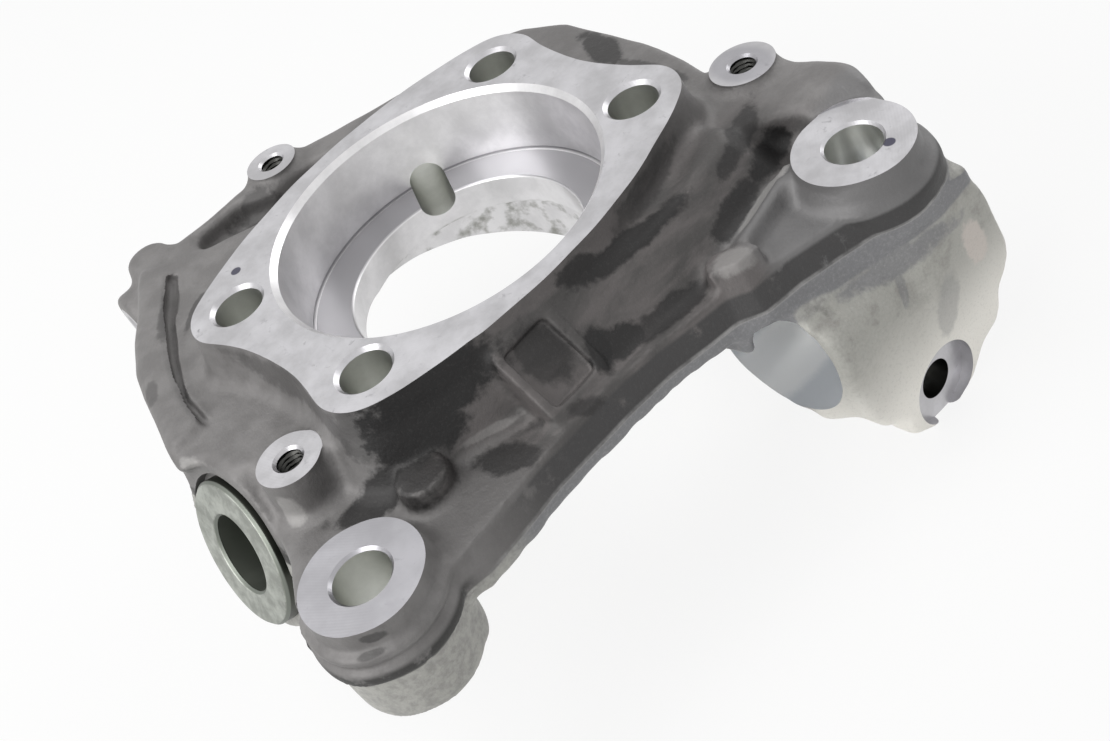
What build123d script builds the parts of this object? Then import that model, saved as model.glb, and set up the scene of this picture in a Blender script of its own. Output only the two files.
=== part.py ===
from build123d import *
import os
from math import atan2, cos, hypot, radians, sin, tan

os.makedirs("parts", exist_ok=True)

# Frame, in millimetres: the origin is the centre of the bearing seat on the flange face.
# +Z points out of the flange along the bearing axis, +X runs along the long side of the bolt pattern.

# Bearing seat and through bore
seat_radius = 43.5
seat_depth = 20.6
seat_chamfer = 1.5
through_radius = 32.2

# Four-bolt flange
bolt_spacing_x = 95.0
bolt_spacing_y = 53.8
bolt_hole_radius = 6.6
lobe_radius = 13.0
flange_half_length = 56.2
flange_half_width = 50.2
flange_lip = 7.0
flange_lip_draft = 8.0
flange_foot_draft = 20.0

# Levels of the casting, measured from the flange face
shoulder_level = -12.5
web_level = -21.5
parting_level = -28.0
web_back_level = -32.5
boss_level = -10.0
lug_level = -14.4

# Caliper lugs
lug_hole_radius = 7.0
lug_hole_chamfer = 0.7
lug_face_radius = 15.0
lug_foot_radius = 16.6
lug_ring_radius = 18.2
lug_ring_top = -23.0
stem_radius = 17.2
lower_lug = (-83.3, -56.7)
upper_lug = (63.6, -78.0)
stem_bottom = -46.0
stem_bottom_radius = 16.4

# Dust-shield bosses, each with a tapped hole
far_boss = (0.9, 83.7)
far_boss_radius = 7.7
right_boss = (76.2, -35.6)
right_boss_radius = 8.7
left_boss = (-71.3, -17.8)
left_boss_radius = 8.3
boss_draft = 3.0
boss_length = 20.0
tapped_radius = 3.4
tapped_depth = 18.0
tapped_chamfer = 0.7

# Cast locating pads on the near web
pad_height = 4.0
pad_draft = 6.0
round_pad = (-57.0, -46.5)
round_pad_radius = 6.4
oval_pad = (23.6, -72.2)
oval_pad_length = 13.0
oval_pad_width = 8.6
oval_pad_turn = -35.0

# Sloping near wall under the flange
near_wall_height = 13.0
near_wall_draft = 40.0

# Short rib on the near web, beside the upper lug
ridge_centre = (40.0, -68.0)
ridge_length = 25.0
ridge_width = 6.0
ridge_height = 5.0
ridge_turn = 9.5
ridge_draft = 22.0

# Recessed frame cast on the near wall of the flange
frame_centre_x = -21.0
frame_width = 18.0
frame_rib = 2.6
frame_recess = 1.8
frame_slope_top = (-49.5, -4.5)
frame_slope_foot = (-64.0, -20.0)

# Raised band along the left edge, and the trough behind the flange
band_height = 2.0
trough_depth = 7.5

# Wheel-speed sensor bore, radial, at the depth of the seat
sensor_radius = 5.0
sensor_azimuth = 62.6

# Link bushing pressed into the left side
bushing_face = (-90.7, 1.0, -35.0)
bushing_tilt = 20.0
bushing_flange_radius = 19.6
bushing_flange_thickness = 4.0
bushing_sleeve_radius = 16.5
bushing_bore_radius = 10.4
bushing_length = 34.0
bushing_chamfer = 0.8
housing_radius = 23.0
housing_length = 30.0
spot_face_radius = 23.4

# Round boss on the left ear, and the machined link boss under it
ear_boss_centre = (-41.6, 94.9, -12.0)
ear_boss_radius = 7.0
ear_boss_length = 17.0
link_boss_face = (-57.0, 92.0, -27.0)
link_boss_radius = 11.5
link_boss_length = 22.0
link_boss_hole_radius = 5.1
link_boss_hole_depth = 18.0

# Fork bracket on the right, with a bore along X and a cross bolt along Y
fork_axis_y = -72.5
fork_axis_z = -50.0
fork_outer_radius = 23.0
fork_bore_radius = 18.5
fork_left = 25.0
fork_bridge_end = 46.0
fork_near_face = -96.0
fork_far_face = -49.0
fork_wall = 7.0
cross_bolt = (51.4, -77.4)
cross_hole_radius = 5.2
spot_radius = 11.4
spot_depth = 3.2
lug_seat_radius = 13.0

# Hub barrel behind the flange, cut off on a slant
barrel_radius = 46.0
barrel_draft = 4.0
barrel_length = 34.0
back_centre_level = -36.9
back_fall_x = 0.256
back_rise_y = 0.133

# Lightening pockets in the back of the web
pocket_depth = 6.5
pocket_corner = 3.0

# Cast corners, and a length that reaches past any solid
corner_round = 2.0
past_all = 90.0
chamfer_angle = 45.0

# Plan outline of the raised shoulder: left flank, far rim and right shoulder
shoulder_points = [
    (-90, 4),
    (-86, 17),
    (-80, 35),
    (-77, 45),
    (-73, 55),
    (-66, 66),
    (-59, 75),
    (-52, 86),
    (-48, 91),
    (-35, 92),
    (-26, 90),
    (-6, 88),
    (10, 84),
    (29, 74),
    (50, 64.5),
    (66, 59),
    (76, 49),
    (81, 35),
    (80, 4),
    (77, -14),
    (74, -25),
    (78, -35),
    (83.5, -41),
    (83, -50),
    (84.5, -62),
    (81, -74),
    (76, -80),
    (73, -66),
    (67, -58),
    (58, -47),
    (50, -32),
    (-40, -30),
    (-62, -16),
    (-76, -8),
]

# Plan outline of the slope that falls from the right shoulder to the upper lug
right_slope_points = [
    (45, -30),
    (78, -20),
    (84, -40),
    (84, -66),
    (76, -74),
    (60, -64),
    (48, -52),
]

# Plan outline of the web that carries the lugs
web_points = [
    (-100, -46),
    (-88, -29),
    (-84, -18),
    (-84, 0),
    (-86, 17),
    (-81, 35),
    (-74, 55),
    (-60, 76),
    (-53, 87),
    (-48, 93),
    (-34, 94),
    (-26, 91),
    (10, 85),
    (29, 75),
    (50, 65.5),
    (67, 60),
    (77, 50),
    (82, 35),
    (81, 4),
    (80, -20),
    (85, -36),
    (85, -66),
    (80, -84),
    (66, -95),
    (56, -92.6),
    (44, -87.8),
    (31, -83),
    (20, -81),
    (15, -76.8),
    (9, -75.2),
    (-4, -72),
    (-17, -70.6),
    (-40, -69.6),
    (-65, -71.5),
    (-80, -74),
]

# Plan outline of the foot of the near wall
near_wall_points = [
    (-40, -44),
    (-30, -49),
    (-14, -62.5),
    (3, -63.5),
    (11, -65.5),
    (30, -66),
    (55, -62),
    (66, -50),
    (60, -34),
    (-38, -34),
]

# Plan outline of the raised band beside the left edge
band_points = [
    (-43, 84),
    (-44.5, 75.5),
    (-48.4, 71.3),
    (-56, 61.3),
    (-63.8, 47.7),
    (-68.5, 37.9),
    (-71.7, 29.7),
    (-73.3, 19.4),
    (-79, 17),
    (-84, 18),
    (-78, 35),
    (-75, 45),
    (-71, 54),
    (-64, 65),
    (-57, 75),
    (-50, 86),
    (-47, 89),
]

# Plan outline of the trough between the flange and the far rim
trough_points = [
    (-32, 79),
    (-30, 86),
    (-14, 84),
    (-7, 76),
    (8, 73),
    (19, 65),
    (14, 58),
    (-4, 62),
    (-20, 72),
]

# Plan outlines of the lightening pockets
pocket_outlines = [
    [(-50, 46), (-54, 58), (-44, 74), (-14, 78), (8, 74), (8, 57), (-14, 55), (-34, 47)],
    [(40, 46), (44, 58), (60, 54), (68, 44)],
    [(-38, -47), (-40, -62), (8, -66), (10, -54), (-14, -54)],
    [(54, -11), (54, 11), (73, 14), (71, -10)],
]

# Elevation outline of the fork walls, as x and z
wall_points = [
    (25, -30),
    (25, -63),
    (33, -77),
    (38, -83.5),
    (44, -87),
    (54.7, -88.6),
    (62, -86),
    (68, -80),
    (74.8, -79),
    (77.6, -75),
    (78.5, -70.5),
    (82.3, -67.6),
    (85, -63.7),
    (85.4, -59),
    (84.4, -52),
    (82.6, -43.3),
    (80.3, -35.3),
    (79, -30),
]

# Plan outline of the thick root that joins the fork to the near edge of the web
root_points = [
    (14, -68),
    (15, -76.8),
    (20, -80.6),
    (31, -82.8),
    (44, -87.6),
    (56, -92.4),
    (60, -94),
    (60, -50),
    (20, -52),
]
root_level = -39.5


def flange_outline():
    """Outline of the machined flange face: four lobes, two long bulged sides, two hollow ends."""
    lobe_x = bolt_spacing_x / 2
    lobe_y = bolt_spacing_y / 2
    # Long side: one arc through the middle of the side, tangent to both lobes from outside.
    side_gap = flange_half_width - lobe_y
    side_radius = (lobe_x**2 + side_gap**2 - lobe_radius**2) / (2 * (side_gap - lobe_radius))
    side_centre_y = flange_half_width - side_radius
    side_angle = atan2(lobe_y - side_centre_y, lobe_x)
    # Hollow end: one arc through the middle of the end, tangent to both lobes.
    end_gap = flange_half_length - lobe_x
    end_radius = (end_gap**2 + lobe_y**2 - lobe_radius**2) / (2 * (lobe_radius - end_gap))
    end_angle = atan2(-lobe_y, end_gap + end_radius)
    middle_angle = (side_angle + end_angle) / 2

    def on_lobe(sign_x, sign_y, angle):
        return (
            sign_x * (lobe_x + lobe_radius * cos(angle)),
            sign_y * (lobe_y + lobe_radius * sin(angle)),
        )

    with BuildSketch(Plane.XY) as outline:
        with BuildLine():
            for sign_x, sign_y in ((1, 1), (-1, 1), (-1, -1), (1, -1)):
                ThreePointArc(
                    on_lobe(sign_x, sign_y, end_angle),
                    on_lobe(sign_x, sign_y, middle_angle),
                    on_lobe(sign_x, sign_y, side_angle),
                )
            for sign_y in (1, -1):
                ThreePointArc(
                    on_lobe(1, sign_y, side_angle),
                    (0, sign_y * flange_half_width),
                    on_lobe(-1, sign_y, side_angle),
                )
            for sign_x in (1, -1):
                ThreePointArc(
                    on_lobe(sign_x, 1, end_angle),
                    (sign_x * flange_half_length, 0),
                    on_lobe(sign_x, -1, end_angle),
                )
        make_face()
    return outline.sketch


def plain_outline(points):
    """A closed polygon with sharp corners."""
    with BuildSketch(Plane.XY) as outline:
        with BuildLine():
            Polyline(*points, close=True)
        make_face()
    return outline.sketch


def rounded_outline(points, radius):
    """A closed polygon with all its corners rounded."""
    with BuildSketch(Plane.XY) as outline:
        add(plain_outline(points))
        fillet(outline.vertices(), radius)
    return outline.sketch


def axis_plane(point, direction):
    """A plane at a point whose normal is the given direction."""
    return Plane(origin=point, z_dir=direction)


bushing_out = (-cos(radians(bushing_tilt)), 0, sin(radians(bushing_tilt)))
housing_face = tuple(
    face - bushing_flange_thickness * out for face, out in zip(bushing_face, bushing_out)
)
ear_boss_direction = (0, 0, 1)
link_boss_direction = (-1, 0.12, 0)

with BuildPart() as knuckle_casting:
    # Flange block: a drafted lip under the machined face, then a wide sloping foot
    add(flange_outline())
    extrude(amount=-flange_lip, taper=-flange_lip_draft)
    lip_spread = flange_lip * tan(radians(flange_lip_draft))
    with BuildSketch(Plane.XY.offset(-flange_lip)):
        add(offset(flange_outline(), lip_spread, kind=Kind.ARC))
    extrude(amount=web_level + flange_lip, taper=-flange_foot_draft)

    # Web, raised shoulder and the slope to the upper lug
    with BuildSketch(Plane.XY.offset(web_back_level)):
        add(rounded_outline(web_points, corner_round))
    extrude(amount=web_level - web_back_level)
    with BuildSketch(Plane.XY.offset(web_level)):
        add(rounded_outline(shoulder_points, corner_round))
    extrude(amount=shoulder_level - web_level)
    with BuildSketch(Plane.XY.offset(web_level)):
        add(plain_outline(right_slope_points))
    extrude(amount=shoulder_level - web_level, taper=near_wall_draft)

    # Near wall and its short rib
    with BuildSketch(Plane.XY.offset(web_level)):
        add(plain_outline(near_wall_points))
    extrude(amount=near_wall_height, taper=near_wall_draft)
    with BuildSketch(Plane.XY.offset(web_level)):
        with Locations(Location((*ridge_centre, 0), ridge_turn)):
            Rectangle(ridge_length, ridge_width)
    extrude(amount=ridge_height, taper=ridge_draft)

    # Raised band and trough
    with BuildSketch(Plane.XY.offset(shoulder_level)):
        add(plain_outline(band_points))
    extrude(amount=band_height)
    with BuildSketch(Plane.XY.offset(shoulder_level)):
        add(rounded_outline(trough_points, corner_round))
    extrude(amount=-trough_depth, mode=Mode.SUBTRACT)

    # Hub barrel
    with BuildSketch(Plane.XY.offset(web_level)):
        Circle(barrel_radius)
    extrude(amount=-barrel_length, taper=barrel_draft)

    # Lightening pockets in the back
    for pocket_points in pocket_outlines:
        with BuildSketch(Plane.XY.offset(web_back_level)):
            add(rounded_outline(pocket_points, pocket_corner))
        extrude(amount=pocket_depth, mode=Mode.SUBTRACT)

    # Caliper lugs with their rings on the parting line, and the stem under the lower one
    for lug in (lower_lug, upper_lug):
        with BuildSketch(Plane.XY.offset(lug_level)):
            with Locations(lug):
                Circle(lug_face_radius)
        with BuildSketch(Plane.XY.offset(web_level)):
            with Locations(lug):
                Circle(lug_foot_radius)
        loft()
        with BuildSketch(Plane.XY.offset(lug_ring_top)):
            with Locations(lug):
                Circle(lug_ring_radius)
        extrude(amount=parting_level - lug_ring_top)
        with BuildSketch(Plane.XY.offset(parting_level)):
            with Locations(lug):
                Circle(stem_radius)
        with BuildSketch(Plane.XY.offset(stem_bottom)):
            with Locations(lug):
                Circle(stem_bottom_radius)
        loft()

    # Dust-shield bosses
    for centre, radius in (
        (far_boss, far_boss_radius),
        (right_boss, right_boss_radius),
        (left_boss, left_boss_radius),
    ):
        with BuildSketch(Plane.XY.offset(boss_level)):
            with Locations(centre):
                Circle(radius)
        extrude(amount=-boss_length, taper=-boss_draft)

    # Locating pads
    with BuildSketch(Plane.XY.offset(web_level)):
        with Locations(round_pad):
            Circle(round_pad_radius)
    extrude(amount=pad_height, taper=pad_draft)
    with BuildSketch(Plane.XY.offset(web_level)):
        with Locations(Location((*oval_pad, 0), oval_pad_turn)):
            SlotOverall(oval_pad_length, oval_pad_width)
    extrude(amount=pad_height, taper=pad_draft)

    # Recessed frame on the near wall
    slope_run = frame_slope_top[0] - frame_slope_foot[0]
    slope_rise = frame_slope_top[1] - frame_slope_foot[1]
    slope = atan2(slope_rise, slope_run)
    frame_length = hypot(slope_run, slope_rise)
    frame_plane = Plane(
        origin=(
            frame_centre_x,
            (frame_slope_top[0] + frame_slope_foot[0]) / 2,
            (frame_slope_top[1] + frame_slope_foot[1]) / 2,
        ),
        x_dir=(1, 0, 0),
        z_dir=(0, -sin(slope), cos(slope)),
    )
    with BuildSketch(frame_plane):
        RectangleRounded(frame_width, frame_length, frame_rib)
    extrude(amount=-flange_lip)
    with BuildSketch(frame_plane):
        RectangleRounded(frame_width - 2 * frame_rib, frame_length - 2 * frame_rib, frame_rib / 2)
    extrude(amount=-frame_recess, mode=Mode.SUBTRACT)

    # Bushing housing, and the spot face that the bushing's flange sits on
    with BuildSketch(axis_plane(housing_face, bushing_out)):
        Circle(housing_radius)
    extrude(amount=-housing_length)
    with BuildSketch(axis_plane(housing_face, bushing_out)):
        Circle(spot_face_radius)
    extrude(amount=housing_length, mode=Mode.SUBTRACT)

    # Round boss on the left ear, and the link boss
    with BuildSketch(axis_plane(ear_boss_centre, ear_boss_direction)):
        Circle(ear_boss_radius)
    extrude(amount=-ear_boss_length)
    with BuildSketch(axis_plane(link_boss_face, link_boss_direction)):
        Circle(link_boss_radius)
    extrude(amount=-link_boss_length)
    with BuildSketch(axis_plane(link_boss_face, link_boss_direction)):
        Circle(link_boss_hole_radius)
    extrude(amount=-link_boss_hole_depth, mode=Mode.SUBTRACT)

    # Fork: its thick root, the bridged tube, and the block that becomes the two walls
    with BuildSketch(Plane.XY.offset(web_back_level)):
        add(rounded_outline(root_points, corner_round))
    extrude(amount=root_level - web_back_level)
    with BuildSketch(Plane.YZ.offset(fork_left)):
        with Locations((fork_axis_y, fork_axis_z)):
            Circle(fork_outer_radius)
    extrude(amount=fork_bridge_end - fork_left)
    with BuildSketch(Plane.XZ.offset(-fork_near_face)):
        add(plain_outline(wall_points))
    extrude(amount=fork_near_face - fork_far_face)

    # The fork's bore, the open gap between the walls, and the seat under the upper lug
    gap_near = fork_near_face + fork_wall
    gap_far = fork_far_face - fork_wall
    with BuildSketch(Plane.YZ.offset(fork_bridge_end)):
        with Locations((gap_near, fork_axis_z)):
            Rectangle(gap_far - gap_near, past_all, align=(Align.MIN, Align.MAX))
    extrude(amount=past_all, mode=Mode.SUBTRACT)
    with BuildSketch(Plane.YZ.offset(fork_left - flange_lip)):
        with Locations((fork_axis_y, fork_axis_z)):
            Circle(fork_bore_radius)
    extrude(amount=past_all, mode=Mode.SUBTRACT)
    with BuildSketch(Plane.YZ.offset(fork_left)):
        with Locations((fork_axis_y, fork_axis_z - fork_outer_radius)):
            Rectangle(2 * fork_bore_radius - fork_wall, past_all, align=(Align.CENTER, Align.MAX))
    extrude(amount=fork_bridge_end - fork_left, mode=Mode.SUBTRACT)
    with BuildSketch(Plane.XY.offset(web_back_level)):
        with Locations(upper_lug):
            Circle(lug_seat_radius)
    extrude(amount=fork_axis_z - web_back_level, mode=Mode.SUBTRACT)

    # Cross bolt hole through both walls, and its spot face
    with BuildSketch(Plane.XZ.offset(-fork_near_face)):
        with Locations(cross_bolt):
            Circle(cross_hole_radius)
    extrude(amount=fork_near_face - fork_far_face, mode=Mode.SUBTRACT)
    with BuildSketch(Plane.XZ.offset(-fork_near_face)):
        with Locations(cross_bolt):
            Circle(spot_radius)
    extrude(amount=-spot_depth, mode=Mode.SUBTRACT)

    # Slanted back of the hub barrel
    back_plane = Plane(origin=(0, 0, back_centre_level), z_dir=(-back_fall_x, back_rise_y, -1))
    with BuildSketch(back_plane):
        Circle(barrel_radius + lobe_radius / 2)
    extrude(amount=barrel_length, mode=Mode.SUBTRACT)

    # Machined bearing seat, through bore and bolt holes
    with BuildSketch(Plane.XY):
        Circle(seat_radius)
    extrude(amount=-seat_depth, mode=Mode.SUBTRACT)
    with BuildSketch(Plane.XY):
        Circle(through_radius)
    extrude(amount=-past_all, mode=Mode.SUBTRACT)
    with BuildSketch(Plane.XY):
        with GridLocations(bolt_spacing_x, bolt_spacing_y, 2, 2):
            Circle(bolt_hole_radius)
    extrude(amount=-past_all, mode=Mode.SUBTRACT)

    # Caliper lug holes
    with BuildSketch(Plane.XY.offset(lug_level)):
        with Locations(lower_lug, upper_lug):
            Circle(lug_hole_radius)
    extrude(amount=fork_axis_z - lug_level, mode=Mode.SUBTRACT)

    # Tapped holes in the dust-shield bosses
    with BuildSketch(Plane.XY.offset(boss_level)):
        with Locations(far_boss, right_boss, left_boss):
            Circle(tapped_radius)
    extrude(amount=-tapped_depth, mode=Mode.SUBTRACT)

    # Bushing bore
    with BuildSketch(axis_plane(housing_face, bushing_out)):
        Circle(bushing_sleeve_radius)
    extrude(amount=-(bushing_length - bushing_flange_thickness), mode=Mode.SUBTRACT)

    # Sensor bore
    sensor_direction = (cos(radians(sensor_azimuth)), sin(radians(sensor_azimuth)), 0)
    with BuildSketch(Plane(origin=(0, 0, -seat_depth), z_dir=sensor_direction)):
        Circle(sensor_radius)
    extrude(amount=past_all, mode=Mode.SUBTRACT)

    # Chamfers on the machined holes, cut as short cones
    for centres, rim_radius, rim_level, rim_chamfer in (
        ([(0, 0)], seat_radius, 0, seat_chamfer),
        ([lower_lug, upper_lug], lug_hole_radius, lug_level, lug_hole_chamfer),
        ([far_boss, right_boss, left_boss], tapped_radius, boss_level, tapped_chamfer),
    ):
        with BuildSketch(Plane.XY.offset(rim_level)):
            with Locations(*centres):
                Circle(rim_radius + rim_chamfer)
        extrude(amount=-rim_chamfer, taper=chamfer_angle, mode=Mode.SUBTRACT)

knuckle_casting.part.label = "knuckle_casting"
export_step(knuckle_casting.part, "parts/knuckle_casting.step")

with BuildPart() as link_bushing:
    with BuildSketch(axis_plane(bushing_face, bushing_out)):
        Circle(bushing_flange_radius)
    extrude(amount=-bushing_flange_thickness)
    with BuildSketch(axis_plane(bushing_face, bushing_out)):
        Circle(bushing_sleeve_radius)
    extrude(amount=-bushing_length)
    with BuildSketch(axis_plane(bushing_face, bushing_out)):
        Circle(bushing_bore_radius)
    extrude(amount=-bushing_length, mode=Mode.SUBTRACT)
    outer_face = link_bushing.faces().sort_by(Axis(bushing_face, bushing_out))[-1]
    chamfer(outer_face.edges(), bushing_chamfer)

link_bushing.part.label = "link_bushing"
export_step(link_bushing.part, "parts/link_bushing.step")

print("casting volume", round(knuckle_casting.part.volume), "solids", len(knuckle_casting.part.solids()))
print("bushing volume", round(link_bushing.part.volume), "solids", len(link_bushing.part.solids()))
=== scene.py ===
import math

import bmesh
import bpy
import numpy as np
import openvdb
from mathutils import Matrix, Vector


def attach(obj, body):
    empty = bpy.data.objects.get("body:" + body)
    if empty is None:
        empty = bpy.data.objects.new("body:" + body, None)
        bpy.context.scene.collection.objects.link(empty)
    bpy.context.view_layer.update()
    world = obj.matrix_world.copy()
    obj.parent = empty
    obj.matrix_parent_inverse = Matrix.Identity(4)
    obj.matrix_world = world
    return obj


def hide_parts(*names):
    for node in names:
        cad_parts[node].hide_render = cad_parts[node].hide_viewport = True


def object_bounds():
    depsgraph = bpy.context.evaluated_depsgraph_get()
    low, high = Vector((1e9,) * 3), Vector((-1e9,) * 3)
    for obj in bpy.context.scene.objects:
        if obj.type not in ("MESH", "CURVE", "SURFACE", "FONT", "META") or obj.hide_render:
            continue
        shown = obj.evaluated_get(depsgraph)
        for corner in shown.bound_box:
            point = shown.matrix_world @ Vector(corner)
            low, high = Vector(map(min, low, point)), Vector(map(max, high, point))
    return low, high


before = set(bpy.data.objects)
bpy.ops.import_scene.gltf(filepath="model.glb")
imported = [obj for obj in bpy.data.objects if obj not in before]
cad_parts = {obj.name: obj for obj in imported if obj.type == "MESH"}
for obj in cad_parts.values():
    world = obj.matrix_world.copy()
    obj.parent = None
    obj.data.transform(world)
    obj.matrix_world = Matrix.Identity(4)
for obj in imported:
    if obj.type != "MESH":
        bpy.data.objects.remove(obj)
cad_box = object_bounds()

# Sizes below are in millimetres in the row's frame, and meshes are made in metres.
MM = 0.001

# Grid that the cast skin is worked out on
PITCH = 0.65
REACH = 8
INNER_FILLET = 2.3
OUTER_ROUND = 1.3
EDGE_BLUR = 0.55
DETAIL_BLUR = 0.3
BOX_MARGIN = 0.1
SKIN_WAVE = 0.13
WAVE_LENGTH = 17.0
WAVE_SEED = 5
TRIANGLE_GOAL = 152000

# Bearing seat and flange
SEAT_RADIUS = 43.5
SEAT_DEPTH = 20.6
SEAT_CHAMFER = 1.5
THROUGH_RADIUS = 32.2
THROUGH_STEP = -29.5
STEP_RADIUS = 34.0
BOLTS = [(x, y) for x in (-47.5, 47.5) for y in (-26.9, 26.9)]
BOLT_RADIUS = 6.6
BOLT_CHAMFER = 1.0
LIP_DRAFT = math.tan(math.radians(8.0))
LIP_START = -3.0
FACE_HALF = (70, 62)

# Relief groove in the seat's corner: radius and height from the corner
SEAT_RELIEF = ((-0.9, 0.0), (-0.6, -0.35), (0.35, -0.1), (0.35, 0.35), (0.0, 0.6))

# Levels of the casting
WEB_LEVEL = -21.5
PARTING = -28.0
WEB_BACK = -32.5

# Lugs and bosses
LUG_LEVEL = -14.4
LOWER_LUG = (-83.3, -56.7)
UPPER_LUG = (63.6, -78.0)
LUG_FACE_RADIUS = 15.0
LUG_RING_RADIUS = 18.2
LUG_HOLE_RADIUS = 7.0
LUG_HOLE_CHAMFER = 0.7
STEM_BOTTOM = -46.0
BOSS_LEVEL = -10.0
BOSSES = ((0.9, 83.7, 7.7), (76.2, -35.6, 8.7), (-71.3, -17.8, 8.3))
BOSS_SPREAD = math.tan(math.radians(3.0))
THREAD_ROOT = 4.0
THREAD_CREST = 3.4
THREAD_PITCH = 1.25
THREAD_DEPTH = 18.0
THREAD_ROWS = 6
THREAD_LEAD = 0.8
THREAD_FROM = -1.2
THREAD_MOUTH = 0.7

# Hub back
BACK_LEVEL = -36.9
BACK_X = 0.256
BACK_Y = 0.133

# Sensor bore
SENSOR_RADIUS = 5.0
SENSOR_START = 25.0
SENSOR_END = 78.5
SENSOR_TURN = math.radians(62.6)
SENSOR_OUT = np.array([math.cos(SENSOR_TURN), math.sin(SENSOR_TURN), 0.0])

# Link bushing and link boss
BUSHING_OUT = np.array([-math.cos(math.radians(20.0)), 0.0, math.sin(math.radians(20.0))])
BUSHING_FACE = np.array([-90.7, 1.0, -35.0])
BUSHING_FLANGE = 4.0
BUSHING_SLEEVE_RADIUS = 16.5
BUSHING_SLEEVE_DEPTH = 31.0
HOUSING_FACE = BUSHING_FACE - BUSHING_FLANGE * BUSHING_OUT
HOUSING_CUT = 21.2
COLLAR_RADIUS = 23.6
COLLAR_HEIGHT = 2.3
COLLAR_DEPTH = 8.0
COLLAR_LEVEL = 2.0
LINK_OUT = np.array([-1.0, 0.12, 0.0]) / math.hypot(1.0, 0.12)
LINK_FACE = np.array([-57.0, 92.0, -27.0])
LINK_RADIUS = 11.5
LINK_HOLE_RADIUS = 5.1
LINK_HOLE_DEPTH = 18.0
LINK_CHAMFER = 0.8

# Fork
FORK_Y = -72.5
FORK_Z = -50.0
FORK_RADIUS = 18.5
FORK_LEFT = 25.0
FORK_BRIDGE = 46.0
FORK_NEAR = -96.0
FORK_FAR = -49.0
CROSS_X = 51.4
CROSS_Z = -77.4
CROSS_RADIUS = 5.2
SPOT_RADIUS = 11.0
SPOT_DEPTH = 3.2
EAR_DEPTH = 7.0
NUB_RADIUS = 8.4
NUB_RUN = (5.0, 14.0)

# How much wider the plugs are than their holes, and how far cuts reach past the metal
SEAT_SPARE = 2.5
BARREL_SPARE = 3.0
SPARE = 1.0
FINE_SPARE = 0.6
CLEAR = 6.0
DEEP = 60.0

# Plan outline of the web, whose near side is the parting edge
WEB_OUTLINE = (
    (-100, -46), (-88, -29), (-84, -18), (-84, 0), (-60, 40), (60, 40), (81, 4), (80, -20), (85, -36),
    (85, -66), (80, -84), (66, -95), (56, -92.6), (44, -87.8), (31, -83), (20, -81), (15, -76.8),
    (9, -75.2), (-4, -72), (-17, -70.6), (-40, -69.6), (-65, -71.5), (-80, -74),
)
EDGE_SLOPE = 0.62
RAIL_BLOCK = ((-104, -100, PARTING), (90, -40, -5))
RAIL_END = (60, 76)
RAIL_FREE = 20

# Top edge (x, y) of the fork's near wall, the levels between which it leans out, and its small step
WALL_TOP = ((14, -76.5), (20, -81), (31, -83.2), (44, -88), (56, -92.8), (66, -95.2), (90, -95.2))
WALL_TOP_LEVEL = -36.0
WALL_FOOT_LEVEL = -68.0
WALL_OVER_BORE = 3.4
RAIL_OVER_BORE = 1.2
WALL_STEP = 1.2
WALL_STEP_RUN = 1.5
WALL_BLOCK = ((14, -100, -90), (90, -70, -26))
SOFT_BLOCK = ((18, -99, -66), (58, -76, -36))
SOFT_BLUR = 1.8
SOFT_FADE = 4.0

# Flat plate beside the upper lug
PLATE_BLOCK = ((26, -82, -30), (58, -60, -12))
PLATE_EDGE = -65.5
PLATE_SLOPE = 3.0
PLATE_MIDDLE = 42
PLATE_HALF = (11, 16)
PLATE_FADE = 4

# Lip of the fork's tube, thin at its left end and free of the near wall and the web
LIP_BLOCK = ((20, -100, -80), (40, -40, -38))
LIP_RADIUS = 19.6
LIP_SPREAD = 0.5
LIP_FREE = 9
LIP_WALL = (74, 86)
LIP_WEB = (-46, -38)
LIP_END = 34

# Height and radius, from the axis outwards, of the turned forms
LOWER_LUG_PROFILE = (
    (0, -12.0), (14.9, -12.0), (15.0, -14.4), (15.1, -18.8), (15.6, -19.8), (16.9, -20.5), (17.3, -21.5),
    (17.0, -22.6), (16.5, -23.4), (16.9, -24.2), (17.8, -25.0), (18.1, -26.2), (18.1, -27.9), (17.0, -28.9),
    (16.4, -30), (16.0, -42.6), (15.2, -44.9), (13.2, -46), (0, -46),
)
UPPER_LUG_PROFILE = (
    (0, -12.0), (14.7, -12.0), (14.9, -14.4), (15.3, -20.0), (16.2, -21.2), (17.6, -22.4), (18.2, -24.5),
    (18.2, -28.2), (17.4, -30), (17.0, -33), (0, -33),
)
FREE_SIDE = (-0.55, -0.83)
FREE_BLEND = (1.0, 5.0)
LUG_REACH = 24
LUG_SPAN = (-50, -8)
LUG_JOIN = 0.8

# Wires (x, y, z, radius) that draw the casting's thin ridges and its groove
GROOVE = (
    (-44.4, 76.5, -12.2, 1.8), (-48.4, 71.3, -12.7, 2.0), (-56, 61.3, -12.7, 1.6), (-63.8, 47.7, -12.4, 1.3),
    (-68.5, 37.9, -12.2, 1.2), (-71.7, 29.7, -12.1, 1.1), (-73.3, 19.4, -12.0, 0.9),
    (-73.6, 13.0, -11.9, 0.5),
)
LUG_RIDGE = (
    (55.3, -62.9, -19.2, 0.9), (47, -64.2, -19.4, 1.0), (38, -65.6, -20.0, 1.0), (30.7, -66.8, -21.0, 0.8),
)
WEB_RIDGE = (
    (-52.5, -41.5, -21.0, 0.9), (-47.2, -44.4, -20.5, 1.5),
    (-39, -49.3, -20.6, 1.4), (-32.1, -53.6, -20.9, 1.2), (-25, -59.5, -21.2, 0.9), (-14, -66.0, -21.3, 0.8),
)

# Raised pads on the web: x, y, half length, half width, turn in degrees, top
PADS = ((-57.0, -46.5, 6.3, 6.3, 0.0, -15.7), (23.6, -72.2, 6.6, 4.3, -35.0, -16.7))
PAD_REACH = 12
PAD_DRAFT = 0.12
PAD_JOIN = 0.4

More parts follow.
